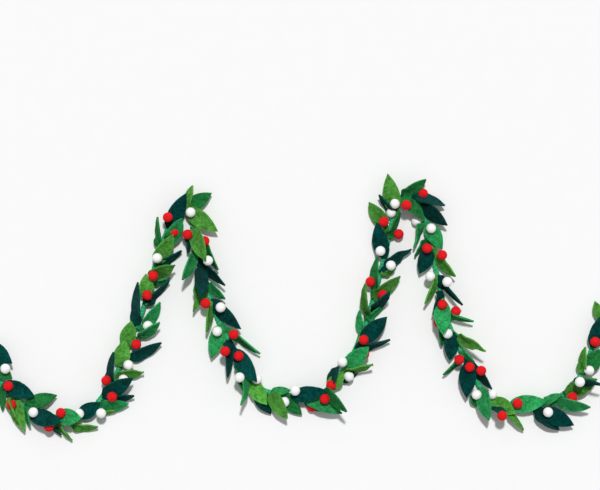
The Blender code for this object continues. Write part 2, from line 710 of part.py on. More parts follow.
def build_garland():
    """The cord, and its sprigs laid from the far end back, each over the one before."""
    clear_scene()
    collection = bpy.data.collections.new(NAME)
    cutters = bpy.data.collections.new("cutters")
    bpy.context.scene.collection.children.link(collection)
    bpy.context.scene.collection.children.link(cutters)
    felts = {name: felt_material(name) for name in FELTS}
    walk = smooth_walk(WALK_STEPS)
    laid = [make_cord(collection, felts["cord"])]
    for number in sorted({row.sprig for row in LEAVES}, reverse=True):
        rows = [row for row in LEAVES if row.sprig == number]
        forms = lay_sprig(rows, foot_of(rows, walk), laid)
        for pose, balls in forms:
            laid.append(laid_entry(leaf_shell(pose)))
            laid += [laid_entry(berry_shell(centre)) for centre, felt in balls]
        make_sprig(number, forms, collection, cutters, felts)


build_garland()
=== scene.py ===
"""A felt garland in waves on a pale surface: die-cut felt leaves and felted wool berries
sewn all along a wound wool cord.

Each leaf is cut flat from one pattern and then laid in the pose that its sprig has
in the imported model.  Leaves, berries and the wound cord stand for the plain solids.
"""

import math
from collections import namedtuple

import bmesh
import bpy
from mathutils import Euler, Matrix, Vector, noise
from mathutils.kdtree import KDTree


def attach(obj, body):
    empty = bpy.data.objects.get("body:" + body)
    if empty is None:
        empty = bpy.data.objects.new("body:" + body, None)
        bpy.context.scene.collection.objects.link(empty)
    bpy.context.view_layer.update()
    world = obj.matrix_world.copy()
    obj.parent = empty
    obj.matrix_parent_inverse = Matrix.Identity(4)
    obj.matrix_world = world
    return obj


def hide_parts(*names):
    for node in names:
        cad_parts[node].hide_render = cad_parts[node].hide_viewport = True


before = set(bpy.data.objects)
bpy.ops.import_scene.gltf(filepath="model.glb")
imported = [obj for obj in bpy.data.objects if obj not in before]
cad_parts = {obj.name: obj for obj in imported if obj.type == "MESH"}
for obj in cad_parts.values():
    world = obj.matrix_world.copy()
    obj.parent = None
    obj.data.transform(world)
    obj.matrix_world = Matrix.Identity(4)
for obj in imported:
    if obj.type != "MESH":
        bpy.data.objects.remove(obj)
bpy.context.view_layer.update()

# Driving sizes, in metres
CORD_RADIUS = 0.0040
LEAF_WIDTH = 0.0250
LEAF_LENGTH = 0.0460
FELT = 0.0030
BERRY_RADIUS = 0.0073
MM = 0.001

# The plan is laid out on a grid, x to the right and y towards the garland's foot
GRID = 0.00145
GRID_MIDDLE = (295.08, 307.24)
CORD_SIDES = 8
CORD_AXIS_HEIGHT = CORD_RADIUS * math.cos(math.pi / CORD_SIDES)
CORD_TOP = 2.0 * CORD_AXIS_HEIGHT
WALK_STEPS = 12

# The leaf's outline and its form
FULLEST = 0.42
ROUNDNESS = 0.55
FOOT_SHARE = 0.30
TIP_SHARE = 0.10
SMALLEST = 0.60
FULLNESS = 1.9
FINE_TIP = 0.02
STALK_LIMIT = 0.18
CORNER = 0.10
TWIST_OVER = 0.34
CUP = 0.15
CUP_OVER = 0.25
SLOPE_STEP = 0.01

# The poses that a packed leaf may have been given
FOOT_GAP = 0.0006
FOOT_STEP = 0.0011
FOOT_LIFTS = 6
TIP_STEP = 0.0012
TIP_LIFTS = 26
SWINGS = (0, 5, -5, 10, -10, 15, -15)
TIP_REACH = 0.0024
FORM_STATIONS = (0.42, 0.72, 1.0)
FORM_MISS = 0.0002

# The pattern that every leaf is cut from, and the felted ball
BLADE_STEPS = 30
CROSS_STEPS = 8
STEM = 0.012
STEM_STEPS = 3
RIM = 0.0011
RIM_STEPS = 2
RIM_PROFILE = 0.6
RIM_FROM = 0.84
RIM_OVER = 0.15
FLAT_FACE = 0.9
CUP_AHEAD = 0.1
UNEVEN = 0.0007
UNEVEN_SCALE = 75.0
RAGGED = 0.035
RAGGED_SCALE = 420.0
SEED_STRETCH = (900.0, 700.0)
THIN_RIM = -0.25
THIN_FROM = 0.6
# Painted shade: how much darker each leaf is made towards its foot
FOOT_SHADE = 0.45
CURL = 0.0026
CURL_FROM = 0.40
CURL_THIN = 0.50
CURL_SWEEP = 1.5 * math.pi
WAVE = 0.0012
WAVE_TURNS = 1.2
BALL_FINENESS = 4
BALL_LUMP = 0.00016
BALL_KINDS = 4
BALL_FOOT = 0.9
BALL_PRESSED = 0.06
BALL_LEAN = 0.25
BALL_TURN = 2.4
MEASURE_STEPS = 24

# The cord's winding
CORD_STEP = 0.00105
CORD_AROUND = 14
WIND_PITCH = 0.0046
WIND_DEPTH = 0.20
WIND_LUMP = 0.00035
WIND_LUMP_SCALE = 260.0

# The camera and the light
PICTURE_MIDDLE = (300, 245)
PICTURE_WIDTH = 600
CAMERA_LENS = 200.0
CAMERA_REACH = 20.0
SENSOR_WIDTH = 36.0
KEY_DIRECTION = (-0.04, -0.42, -1.0)
KEY_STRENGTH = 2.45
KEY_ANGLE = math.radians(5)
ROOM_STRENGTH = 0.36
SURFACE_SIZE = 6.0
SURFACE_GAP = 0.0003
SURFACE_GRAIN_SCALE = 40.0
SURFACE_SHADES = ((0.88, 0.88, 0.885, 1.0), (0.90, 0.90, 0.90, 1.0))
WELD = 0.00001

# The felts: each has the colour of its hollows, darker there as painted shade, and
# the colour of its raised fibres, as 0 to 255 values of a screen colour
FELTS = {
    "leaf_teal": ((0, 30, 32), (0, 94, 86)),
    "leaf_emerald": ((10, 98, 52), (62, 192, 108)),
    "leaf_kelly": ((4, 72, 34), (50, 160, 80)),
    "leaf_grass": ((30, 104, 30), (112, 198, 84)),
    "berry_red": ((196, 8, 18), (252, 44, 48)),
    "berry_white": ((247, 247, 246), (255, 255, 255)),
    "cord_felt": ((14, 120, 76), (96, 234, 164)),
}
TONE_AND_SHADE_GAIN = 0.40
CLOUD_SCALE = 60.0
MOTTLE_SCALE = 240.0
FIBRE_SCALE = 760.0
PIT_SCALE = 420.0
HAIR_SCALE = 2600.0
SWIRL_SCALE = 420.0
BALL_FIBRE_SCALE = 1500.0
YARN_CLUMP_SCALE = 330.0
YARN_FIBRE_SCALE = 1200.0
FELT_BUMP = 0.0009
SHEEN = 0.025
SHEEN_ROUGHNESS = 0.5
GLOSS = 0.03

# The cord's route on the plan grid
ROUTE = (
    (-20, 345), (6, 388), (30, 409), (60, 420), (84, 416), (102, 397), (117, 373),
    (127, 345), (141, 316), (151, 280), (162, 245), (172, 220), (179, 210), (187, 209),
    (192, 221), (195, 248), (217, 317), (233, 348), (248, 379), (266, 391), (297, 396),
    (318, 396), (335, 381), (352, 356), (365, 325), (375, 293), (384, 258), (399, 200),
    (411, 195), (422, 206), (429, 236), (438, 280), (449, 325), (468, 364), (489, 398),
    (524, 406), (560, 396), (582, 373), (594, 342), (610, 300),
)

# One row for each leaf: its sprig, where its blade begins and ends on the plan
# grid, its roll in degrees (left edge up), the least height of its tip in
# millimetres, its sideways bend in grid steps (to the left), its felt, how light or
# dark the leaf is made, from -1 to 1, partly its felt's own tone and partly painted
# shade on leaves that lie dark in shadow, and its form: flat, creased along its
# middle, curled to a thin end or wavy
LEAF_COLUMNS = "sprig base_x base_y tip_x tip_y roll height bend felt tone form"
Leaf = namedtuple("Leaf", LEAF_COLUMNS, defaults=(0.0, "flat"))

FIRST_RISE = (
    Leaf(1, -12, 344, 13.5, 363, 5, 22, 0, "teal"),
    Leaf(1, -6, 364, 12, 380, 12, 12, 0, "kelly"),
    Leaf(2, 3, 388, 34, 401, -8, 18, 0, "teal"),
    Leaf(2, 0, 388, 5, 410, 55, 7, 0, "kelly"),
    Leaf(3, 12, 401, 30.5, 428, 35, 11, 0, "grass", 0.5),
    Leaf(3, 9, 399, 19, 418, 75, 8, 0, "grass"),
    Leaf(4, 31, 414, 63, 421, 0, 16, 0, "teal"),
    Leaf(4, 29, 403, 57.5, 395, -35, 10, 0, "kelly"),
    Leaf(4, 25, 405, 31, 426, 70, 15, 0, "emerald"),
    Leaf(5, 58, 416, 83, 417, -10, 18, 0, "emerald", 0.6),
    Leaf(5, 48, 422, 62, 435, 75, 8, 0, "teal"),
    Leaf(5, 57, 424, 73, 440, 76, 10, 0, "grass", 0, "curled"),
    Leaf(6, 79, 416, 103, 406, 12, 17, 0, "teal"),
    Leaf(6, 73, 427, 98, 422, 62, 7, 0, "grass"),
    Leaf(7, 101, 406, 127.5, 396, 42, 12, 0, "emerald"),
    Leaf(7, 99, 413, 116, 410, 68, 8, 0, "grass"),
    Leaf(8, 107, 393, 134, 377, 30, 18, 0, "teal"),
    Leaf(8, 110, 399, 133, 389, 62, 7, 0, "teal"),
    Leaf(9, 110, 384, 117, 352, -66, 14, 0, "teal", -0.3),
    Leaf(9, 117, 375, 144, 369.5, 58, 10, 0, "grass", 0, "wavy"),
    Leaf(10, 122, 368, 126, 339.5, 0, 15, 0, "grass", 0.5),
    Leaf(10, 130, 359, 158.5, 337, 52, 9, 0, "teal"),
    Leaf(11, 131, 348, 132, 320.5, 0, 17, 0, "grass"),
    Leaf(11, 140, 337, 156, 317, 62, 8, 0, "emerald"),
    Leaf(12, 144, 328, 160.5, 302, 55, 12, 0, "emerald", 0.2),
    Leaf(12, 140, 319, 138.5, 282, -60, 10, 0, "teal"),
    Leaf(13, 148, 299, 153, 274, 0, 20, 0, "grass", 0.5, "wavy"),
    Leaf(13, 150, 305, 170, 280, 73, 10, 0, "teal"),
    Leaf(14, 150, 276, 176, 265, 50, 16, 0, "grass", -0.6, "wavy"),
    Leaf(14, 154, 284, 170, 278, 66, 7, 0, "emerald"),
    Leaf(15, 158, 261, 169, 232, 32, 16, 0, "grass", 0.2),
    Leaf(15, 162, 264, 178, 246, 66, 8, 0, "teal"),
    Leaf(16, 158, 246, 158, 217, -75, 10, 0, "kelly"),
    Leaf(16, 168, 244, 189, 223, 32, 12, 0, "emerald"),
    Leaf(17, 169, 224, 186.5, 193.5, 26, 22, 0, "teal", -0.1),
    Leaf(17, 169, 229, 184, 216, 68, 8, 0, "teal"),
    Leaf(18, 187, 211, 218, 231.5, 16, 16, 0, "grass"),
    Leaf(18, 190, 208, 212, 193, 8, 11, 0, "kelly"),
    Leaf(18, 186, 208, 193, 185.5, -56, 13, 0, "grass"),
)

FIRST_FALL = (
    Leaf(19, 187, 229, 206.5, 261, 35, 14, 0, "grass"),
    Leaf(19, 188, 236, 190, 253, -66, 8, 0, "teal", 0, "wavy"),
    Leaf(20, 203, 243, 218.5, 270, 66, 10, 0, "kelly"),
    Leaf(20, 195, 255, 190, 282, -60, 10, 0, "emerald", 0.2),
    Leaf(21, 201, 268, 194, 297, -42, 12, 0, "teal", -0.3),
    Leaf(21, 204, 259, 218, 290, 64, 10, 0, "teal", -0.6),
    Leaf(22, 204, 279, 195, 312, -38, 15, 0, "grass", 0, "curled"),
    Leaf(22, 208, 284, 221, 303, 56, 10, 0, "emerald"),
    Leaf(23, 213, 305, 239, 331, 40, 14, 0, "teal", -0.1, "creased"),
    Leaf(23, 208, 300, 207, 332, -72, 8, 0, "grass"),
    Leaf(24, 219, 326, 217, 358.5, -26, 14, 0, "emerald", 0.6),
    Leaf(24, 229, 330, 253, 361, 72, 8, 0, "emerald"),
    Leaf(25, 235, 350, 254.5, 383, 20, 20, 0, "teal", 0.8),
    Leaf(25, 228, 342, 228, 377, -68, 8, 0, "teal"),
    Leaf(26, 237, 366, 244, 390, -70, 6, -3, "kelly"),
    Leaf(26, 243, 375, 242, 404.5, -75, 10, 2, "emerald", 0, "curled"),
    Leaf(27, 252, 381, 269, 403, 0, 14, 0, "grass", 0.9),
    Leaf(27, 256, 391, 271, 414, -18, 5, 0, "teal", -0.6),
)

VALLEY = (
    Leaf(28, 271, 391, 287.5, 418, 35, 11, 0, "grass", -0.1),
    Leaf(28, 271, 390, 291, 390, -50, 8, 0, "emerald"),
    Leaf(29, 291, 393, 326, 389.5, 24, 17, 0, "teal", 0.4, "creased"),
    Leaf(30, 282, 398, 302, 415, 14, 6, 0, "kelly"),
    Leaf(31, 308, 399, 342, 413, -38, 13, 0, "emerald"),
    Leaf(31, 323, 392, 344.5, 412.5, 60, 15, 3, "kelly"),
    Leaf(31, 303, 401, 322, 411, 12, 4, 0, "teal"),
)

SECOND_RISE = (
    Leaf(32, 328, 388, 345, 373, 12, 14, 0, "grass", 0.6, "wavy"),
    Leaf(32, 330, 383, 338.5, 365.5, -60, 10, 0, "teal"),
    Leaf(33, 342, 381, 359, 370, 62, 6, 0, "teal", -0.6),
    Leaf(33, 346, 371, 372, 361.5, 75, 12, 0, "grass", 0, "wavy"),
    Leaf(34, 343, 365, 368.5, 346, 6, 18, 0, "emerald", 0.6),
    Leaf(35, 361, 341, 386.7, 316.5, 14, 20, 0, "teal"),
    Leaf(35, 361, 348, 390, 339.5, 75, 12, 0, "teal", -0.3),
    Leaf(35, 357, 355, 369, 354, 62, 6, 0, "grass"),
    Leaf(35, 361, 333, 359.5, 310, -62, 12, 0, "emerald", 0.6),
    Leaf(36, 367, 313, 365, 282.6, -75, 10, 1, "grass", -0.5),
    Leaf(36, 371, 320, 385, 303, 66, 8, 0, "emerald"),
    Leaf(36, 374, 308, 388.8, 290.7, 64, 8, 0, "teal"),
    Leaf(37, 376, 298, 400, 276, 46, 16, 0, "grass", -0.5),
    Leaf(37, 373, 288, 377.5, 256.6, -68, 10, 0, "kelly"),
    Leaf(38, 386, 268, 411, 248.4, 56, 14, 2, "teal", 0, "curled"),
    Leaf(38, 385, 275, 396, 266, 66, 6, 0, "grass"),
    Leaf(39, 383, 258, 386, 222, -26, 16, 0, "teal", -0.1),
    Leaf(40, 386, 226, 368.7, 202.3, -36, 13, 0, "grass", -0.2),
    Leaf(40, 394, 238, 399.8, 209.8, 72, 10, 0, "kelly"),
    Leaf(41, 394, 211, 390.6, 173.3, 0, 16, 0, "grass", -0.2),
    Leaf(41, 392, 214, 382, 193, -70, 10, 0, "teal"),
)

SECOND_FALL = (
    Leaf(42, 401, 195, 425.5, 179.5, 52, 12, 0, "kelly", 0, "creased"),
    Leaf(42, 415, 196, 442.5, 210.6, -58, 13, 0, "teal"),
    Leaf(42, 406, 200, 424, 220, -48, 8, 0, "kelly"),
    Leaf(43, 424, 202, 440, 230.5, 42, 12, 0, "teal", -0.9),
    Leaf(44, 427, 227, 442, 249, 6, 14, 0, "emerald"),
    Leaf(44, 421, 224, 414.3, 248, -74, 9, -1, "emerald", 0, "curled"),
    Leaf(45, 430, 247, 419, 273.6, -20, 14, 0, "teal", -0.3),
    Leaf(45, 436, 257, 455, 276.5, 62, 10, 0, "grass"),
    Leaf(45, 424, 240, 419.2, 258.7, -72, 8, 0, "kelly"),
    Leaf(46, 432, 276, 429, 304.6, -70, 10, 0, "grass", 0.5),
    Leaf(46, 442, 280, 461.7, 305, 77, 12, 0, "teal"),
    Leaf(47, 441, 300, 451, 333, 0, 18, 0, "emerald", 0.6),
    Leaf(47, 438, 292, 436.3, 315.2, -66, 8, 0, "teal"),
    Leaf(48, 450, 313, 473.2, 321, 76, 14, 0, "emerald"),
    Leaf(48, 441, 320, 443.5, 346, -64, 8, 0, "kelly"),
    Leaf(49, 451, 332, 449.2, 360, -24, 14, 0, "teal"),
    Leaf(49, 457, 338, 483.7, 352, 58, 13, 1, "grass", 0.2, "curled"),
    Leaf(50, 468, 361, 465.8, 397.4, 0, 18, 0, "teal", -0.5),
    Leaf(50, 462, 352, 473, 363, 62, 8, 0, "emerald"),
    Leaf(50, 460, 358, 443, 375, -74, 12, 0, "kelly"),
    Leaf(50, 476, 367, 491, 388.8, 66, 12, 0, "teal", -0.3),
)

LAST_WAVE = (
    Leaf(51, 481, 389, 487.8, 419.4, 38, 14, 0, "emerald", 0, "creased"),
    Leaf(51, 472, 394, 475.8, 407, -40, 6, 0, "kelly"),
    Leaf(52, 493, 396, 515, 413, 4, 14, 0, "grass", 0.5),
    Leaf(52, 493, 406, 505, 416.5, -62, 6, 0, "teal"),
    Leaf(53, 514, 406, 546.7, 403.2, 0, 14, 0, "emerald", 0.6),
    Leaf(53, 508, 413, 523.2, 430, -70, 9, 0, "grass"),
    Leaf(54, 541, 410, 574.4, 421.8, 4, 16, 0, "teal", -0.5),
    Leaf(54, 535, 413, 560, 427.5, -48, 8, 0, "teal", -0.5),
    Leaf(55, 543, 402, 561, 393.6, -58, 10, 0, "emerald"),
    Leaf(55, 557, 402, 589, 398, 50, 8, 0, "emerald"),
    Leaf(56, 566, 394, 596.4, 378.5, 14, 16, 0, "grass", -0.5),
    Leaf(56, 574, 382, 600, 376, 70, 14, 2, "teal", 0, "curled"),
    Leaf(57, 584, 372, 602, 348, 8, 18, 0, "kelly"),
    Leaf(57, 582, 373.5, 590.7, 347.7, -70, 10, 0, "grass"),
    Leaf(58, 593, 347, 602, 314, 14, 18, 0, "teal", -0.1),
    Leaf(59, 601, 320, 594, 301, -30, 12, 0, "grass"),
)

LEAVES = FIRST_RISE + FIRST_FALL + VALLEY + SECOND_RISE + SECOND_FALL + LAST_WAVE

# One row for each berry: its sprig, the leaf of that sprig which it sits on,
# counted from 0, its place on the plan grid, its felt and how many millimetres it is
# pressed down between its neighbours, or stands higher where this is below 0
Berry = namedtuple("Berry", "sprig leaf x y felt tuck", defaults=(0.0,))

BERRIES = (
    Berry(1, 1, 7, 368, "white"), Berry(2, 0, 9.5, 385.5, "red"),
    Berry(3, 0, 12.5, 404, "red"), Berry(4, 0, 34.5, 411.5, "white"),
    Berry(5, 0, 62, 412, "red"), Berry(5, 1, 50, 426, "red"),
    Berry(6, 0, 80, 413, "white"), Berry(7, 1, 102, 412.5, "white"),
    Berry(8, 1, 113, 396, "red"), Berry(9, 0, 107, 380, "red"),
    Berry(9, 1, 124, 379, "white"), Berry(10, 0, 129, 364.5, "white"),
    Berry(11, 0, 137, 344, "red"), Berry(12, 0, 148.5, 325.5, "white"),
    Berry(13, 0, 148, 295, "red"), Berry(14, 0, 154, 275.5, "red"),
    Berry(15, 0, 158, 258, "white"), Berry(17, 0, 168.5, 217.5, "red"),
    Berry(17, 1, 174.5, 231.5, "red", -8.5), Berry(18, 0, 191, 212.5, "white"),
    Berry(19, 0, 188, 234.5, "red"), Berry(20, 0, 205, 241, "red"),
    Berry(21, 1, 208.5, 260.5, "white"), Berry(22, 0, 202.5, 285.5, "red"),
    Berry(23, 0, 221, 307, "white"), Berry(23, 1, 206, 303, "red"),
    Berry(24, 0, 217.5, 331, "white"), Berry(24, 1, 234, 334, "red"),
    Berry(25, 0, 239, 355.5, "red"), Berry(25, 1, 225.5, 350.5, "red"),
    Berry(27, 0, 257.2, 378.7, "white"), Berry(26, 0, 240, 376.5, "white"),
    Berry(30, 0, 284.5, 401.4, "white"), Berry(29, 0, 295.2, 389.8, "white"),
    Berry(31, 2, 312, 406.5, "red", 6.5), Berry(31, 1, 324.6, 398.3, "red"),
    Berry(32, 0, 331, 384.5, "red"), Berry(33, 0, 348.8, 376, "white", 7),
    Berry(34, 0, 342.2, 361.5, "white"), Berry(35, 0, 363.4, 339.5, "red"),
    Berry(35, 2, 364, 353.6, "red"), Berry(37, 0, 382.6, 294.7, "red"),
    Berry(37, 1, 370, 281.8, "red"), Berry(38, 0, 390.5, 265.4, "white"),
    Berry(39, 0, 380.2, 251, "white"), Berry(40, 0, 383.6, 221.8, "red"),
    Berry(40, 1, 398.5, 234, "red", 5), Berry(41, 0, 394.5, 204, "white"),
    Berry(41, 1, 391, 213, "white", 9), Berry(42, 1, 422.8, 193.6, "red", 9),
    Berry(42, 2, 405.7, 205.4, "red"), Berry(44, 0, 430.6, 228.4, "white"),
    Berry(44, 1, 416.3, 221, "white", 9), Berry(45, 0, 426.5, 248.3, "red"),
    Berry(45, 1, 441.4, 255, "red"), Berry(46, 0, 429.5, 276, "white"),
    Berry(46, 1, 446.2, 281.7, "white"), Berry(47, 0, 441.6, 304.2, "red"),
    Berry(48, 0, 455.2, 311, "red", 9), Berry(48, 1, 437.8, 322.3, "red"),
    Berry(49, 0, 447, 333.2, "white"), Berry(50, 0, 469, 366.6, "red"),
    Berry(50, 2, 458.4, 359, "red"), Berry(50, 3, 480.4, 370, "red", 5),
    Berry(51, 0, 475.8, 394, "white"), Berry(52, 0, 491.6, 394, "white"),
    Berry(52, 1, 500.7, 414.6, "red", 9), Berry(53, 0, 516.7, 402.7, "red"),
    Berry(54, 0, 547.1, 411.5, "white"), Berry(56, 0, 571.2, 396.5, "red"),
    Berry(56, 1, 577.3, 380.7, "white"), Berry(57, 0, 588, 370, "white"),
    Berry(58, 0, 594, 341.5, "red"),
)

# A leaf laid in place: its row, where its sprig is sewn down, and its two heights
Pose = namedtuple("Pose", "row foot foot_height tip_height")


def on_plan(x, y):
    """A place on the plan grid, in metres."""
    return Vector(((x - GRID_MIDDLE[0]) * GRID, (GRID_MIDDLE[1] - y) * GRID))


def smooth_walk(steps):
    """Points along a smooth curve through the route, a number of steps to each span."""
    knots = [on_plan(x, y) for x, y in ROUTE]
    last = len(knots) - 1
    slopes = []
    for index, knot in enumerate(knots):
        before = knots[max(index - 1, 0)]
        after = knots[min(index + 1, last)]
        slopes.append((after - before) / ((knot - before).length + (after - knot).length))
    walk = []
    for index in range(last):
        start, end = knots[index], knots[index + 1]
        reach = (end - start).length
        for step in range(steps):
            t = step / steps
            walk.append(start * (1 + 2 * t) * (1 - t) ** 2 + end * t * t * (3 - 2 * t)
                        + slopes[index] * reach * t * (1 - t) ** 2
                        + slopes[index + 1] * reach * t * t * (t - 1))
    walk.append(knots[last])
    return walk


def ends_of(row):
    """Where a leaf's blade begins and ends."""
    return on_plan(row.base_x, row.base_y), on_plan(row.tip_x, row.tip_y)


def stalk_share(pose):
    """The share of a leaf's length that lies between its foot and its blade's base."""
    base, tip = ends_of(pose.row)
    stalk = (base - pose.foot).length
    share = stalk / (stalk + (tip - base).length)
    return share if share > STALK_LIMIT else 0.0


def blade_share(pose, u):
    """How far along the blade share u of the leaf's length is: 0 or less on its stalk."""
    stalk = stalk_share(pose)
    return (u - stalk) / (1.0 - stalk)


def straight_line(pose, u):
    """The place at share u of the way from the foot past the blade's base to the tip."""
    base, tip = ends_of(pose.row)
    stalk = stalk_share(pose)
    if not stalk:
        return pose.foot.lerp(tip, u)
    if u < stalk:
        return pose.foot.lerp(base, u / stalk)
    return base.lerp(tip, blade_share(pose, u))


def smooth_step(t):
    """A soft step from 0 to 1."""
    t = min(max(t, 0.0), 1.0)
    return t * t * (3.0 - 2.0 * t)


def spine(pose, u):
    """The middle of the leaf at share u of its length."""
    base, tip = ends_of(pose.row)
    corner = min(CORNER, u, 1.0 - u)
    place = sum((straight_line(pose, u + shift) for shift in (-corner, 0.0, corner)),
                Vector((0.0, 0.0))) / 3.0
    left = Vector((base.y - tip.y, tip.x - base.x)).normalized()
    place += left * pose.row.bend * GRID * 4.0 * u * (1.0 - u)
    rise = pose.tip_height - pose.foot_height
    s = max(blade_share(pose, u), 0.0)
    ease = s * (2.0 - s) if rise > 0.0 else smooth_step(s)
    return Vector((place.x, place.y, pose.foot_height + rise * ease))


def leaf_frame(pose, u):
    """The leaf's middle at share u, and the unit vectors across it and off its face."""
    ahead = spine(pose, min(u + SLOPE_STEP, 1.0))
    behind = spine(pose, max(u - SLOPE_STEP, 0.0))
    along = (ahead - behind).normalized()
    left = Vector((-along.y, along.x, 0.0)).normalized()
    roll = math.radians(pose.row.roll) * smooth_step(u / (stalk_share(pose) + TWIST_OVER))
    across = left * math.cos(roll) + along.cross(left) * math.sin(roll)
    return spine(pose, u), across, along.cross(across)


def outline(s):
    """The share of its full width that a blade has at share s of its length."""
    s = min(max(s, 0.0), 1.0)
    taper = ROUNDNESS * (1.0 - FULLEST) / FULLEST
    share = (s / FULLEST) ** ROUNDNESS * ((1.0 - s) / (1.0 - FULLEST)) ** taper
    return max(share, FOOT_SHARE if s < FULLEST else TIP_SHARE)


def cut_share(s):
    """The share of its width that the felt is cut to: full towards its fine tip."""
    if s < FULLEST:
        return outline(s)
    return max(1.0 - ((s - FULLEST) / (1.0 - FULLEST)) ** FULLNESS, FINE_TIP)


def full_half(pose):
    """Half the leaf's width where it is fullest."""
    base, tip = ends_of(pose.row)
    length = math.hypot((tip - base).length, pose.tip_height)
    return 0.5 * LEAF_WIDTH * min(max(length / LEAF_LENGTH, SMALLEST), 1.0)


def leaf_point(pose, u, v, layer):
    """A point of the leaf: share u of its length, v across it, layer off its middle."""
    middle, across, off = leaf_frame(pose, u)
    half = full_half(pose) * outline(blade_share(pose, u))
    cup = CUP * half * v * v * smooth_step(u / CUP_OVER)
    return middle + across * v * half + off * (cup + layer)


def swung(row, degrees):
    """The row with its tip swung round its base."""
    turn = math.radians(degrees)
    reach_x = row.tip_x - row.base_x
    reach_y = row.tip_y - row.base_y
    return row._replace(
        tip_x=row.base_x + reach_x * math.cos(turn) - reach_y * math.sin(turn),
        tip_y=row.base_y + reach_x * math.sin(turn) + reach_y * math.cos(turn))


def foot_of(rows, walk):
    """Where a sprig is sewn down: the cord's first point that is nearest to a leaf's base."""
    nearest = []
    for row in rows:
        base = ends_of(row)[0]
        nearest.append(min(range(len(walk)), key=lambda index: (walk[index] - base).length))
    return walk[min(nearest)]


def corners_of(sprig):
    """A search tree of the corners of one packed sprig."""
    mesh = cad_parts["sprig_%02d" % sprig].data
    tree = KDTree(len(mesh.vertices))
    for vert in mesh.vertices:
        tree.insert(vert.co, vert.index)
    tree.balance()
    return tree


def miss_of(pose, tree):
    """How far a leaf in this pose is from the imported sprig's corners."""
    gaps = [tree.find(leaf_point(pose, share_of_blade(pose, s), v, layer * FELT))[2]
            for s in FORM_STATIONS for v in (-1.0, 1.0) for layer in (-0.5, 0.5)]
    return sorted(gaps)[len(gaps) // 2]


def share_of_blade(pose, s):
    """The share of the leaf's length at share s of its blade."""
    stalk = stalk_share(pose)
    return stalk + (1.0 - stalk) * s


def find_pose(row, foot, tree):
    """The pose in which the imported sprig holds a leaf."""
    near = []
    for swing in SWINGS:
        turned = swung(row, swing)
        tip = ends_of(turned)[1]
        for lift in range(TIP_LIFTS):
            height = row.height * MM + lift * TIP_STEP
            if tree.find((tip.x, tip.y, height))[2] > TIP_REACH:
                continue
            for step in range(FOOT_LIFTS):
                foot_height = CORD_TOP + FOOT_GAP + 0.5 * FELT + step * FOOT_STEP
                near.append(Pose(turned, foot, foot_height, height))
    best = min(near, key=lambda pose: miss_of(pose, tree), default=None)
    if best is None or miss_of(best, tree) > FORM_MISS:
        raise RuntimeError("sprig %d holds no leaf like %s" % (row.sprig, str(row)))
    return best


def find_ball(berry):
    """The middle of a berry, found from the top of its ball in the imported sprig."""
    place = on_plan(berry.x, berry.y)
    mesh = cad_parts["sprig_%02d" % berry.sprig].data
    tops = [vert.co.z for vert in mesh.vertices
            if (vert.co.xy - place).length < FORM_MISS]
    height = max(tops) - BERRY_RADIUS - berry.tuck * MM
    return Vector((place.x, place.y, max(height, BERRY_RADIUS)))


def start_edit(thing):
    """Open one object in edit mode, with all of it selected."""
    bpy.ops.object.select_all(action="DESELECT")
    thing.select_set(True)
    bpy.context.view_layer.objects.active = thing
    bpy.ops.object.mode_set(mode="EDIT")
    bpy.ops.mesh.select_all(action="SELECT")


def end_edit():
    """Close edit mode and hand the object back."""
    bpy.ops.object.mode_set(mode="OBJECT")
    thing = bpy.context.view_layer.objects.active
    thing.select_set(False)
    return thing


def pick(kind, test):
    """Select the vertices, edges or faces that pass a test, and nothing else."""
    bpy.ops.mesh.select_mode(type=kind)
    bpy.ops.mesh.select_all(action="DESELECT")
    shell = bmesh.from_edit_mesh(bpy.context.edit_object.data)
    shell.normal_update()
    items = {"VERT": shell.verts, "EDGE": shell.edges, "FACE": shell.faces}[kind]
    for item in items:
        if test(item):
            item.select_set(True)
    shell.select_flush_mode()
    bmesh.update_edit_mesh(bpy.context.edit_object.data)


def columns():
    """The places along X at which the open pattern has its rows of corners."""
    shell = bmesh.from_edit_mesh(bpy.context.edit_object.data)
    return sorted({round(vert.co.x, 6) for vert in shell.verts})


def is_rim(edge):
    """Whether an edge runs round the pattern's upper or lower face."""
    first, second = (abs(face.normal.z) for face in edge.link_faces)
    return (first > FLAT_FACE) != (second > FLAT_FACE)


def cut_pattern(name, stemmed):
    """One leaf cut flat from felt along X, its middle at Z 0 and its rim rounded."""
    bpy.ops.object.select_all(action="DESELECT")
    bpy.ops.mesh.primitive_grid_add(
        x_subdivisions=BLADE_STEPS, y_subdivisions=CROSS_STEPS, size=1.0)
    blank = bpy.context.active_object
    blank.name = name
    start_edit(blank)
    bpy.ops.transform.resize(value=(LEAF_LENGTH, LEAF_WIDTH, 1.0))
    bpy.ops.transform.translate(value=(0.5 * LEAF_LENGTH, 0.0, 0.0))
    if stemmed:
        for _ in range(STEM_STEPS):
            end = columns()[0]
            pick("EDGE", lambda edge: all(abs(vert.co.x - end) < WELD for vert in edge.verts))
            bpy.ops.mesh.extrude_region_move(
                TRANSFORM_OT_translate={"value": (-STEM / STEM_STEPS, 0.0, 0.0)})
    for place in columns():
        pick("VERT", lambda vert: abs(vert.co.x - place) < WELD)
        bpy.ops.transform.resize(value=(1.0, cut_share(place / LEAF_LENGTH), 1.0),
                                 center_override=(place, 0.0, 0.0))
    bpy.ops.mesh.select_mode(type="FACE")
    bpy.ops.mesh.select_all(action="SELECT")
    bpy.ops.mesh.extrude_region_move(TRANSFORM_OT_translate={"value": (0.0, 0.0, FELT)})
    bpy.ops.mesh.select_all(action="SELECT")
    bpy.ops.transform.translate(value=(0.0, 0.0, -0.5 * FELT))
    bpy.ops.mesh.normals_make_consistent(inside=False)
    pick("EDGE", is_rim)
    bpy.ops.mesh.bevel(
        offset=RIM, segments=RIM_STEPS, profile=RIM_PROFILE, affect="EDGES", clamp_overlap=True)
    return end_edit()


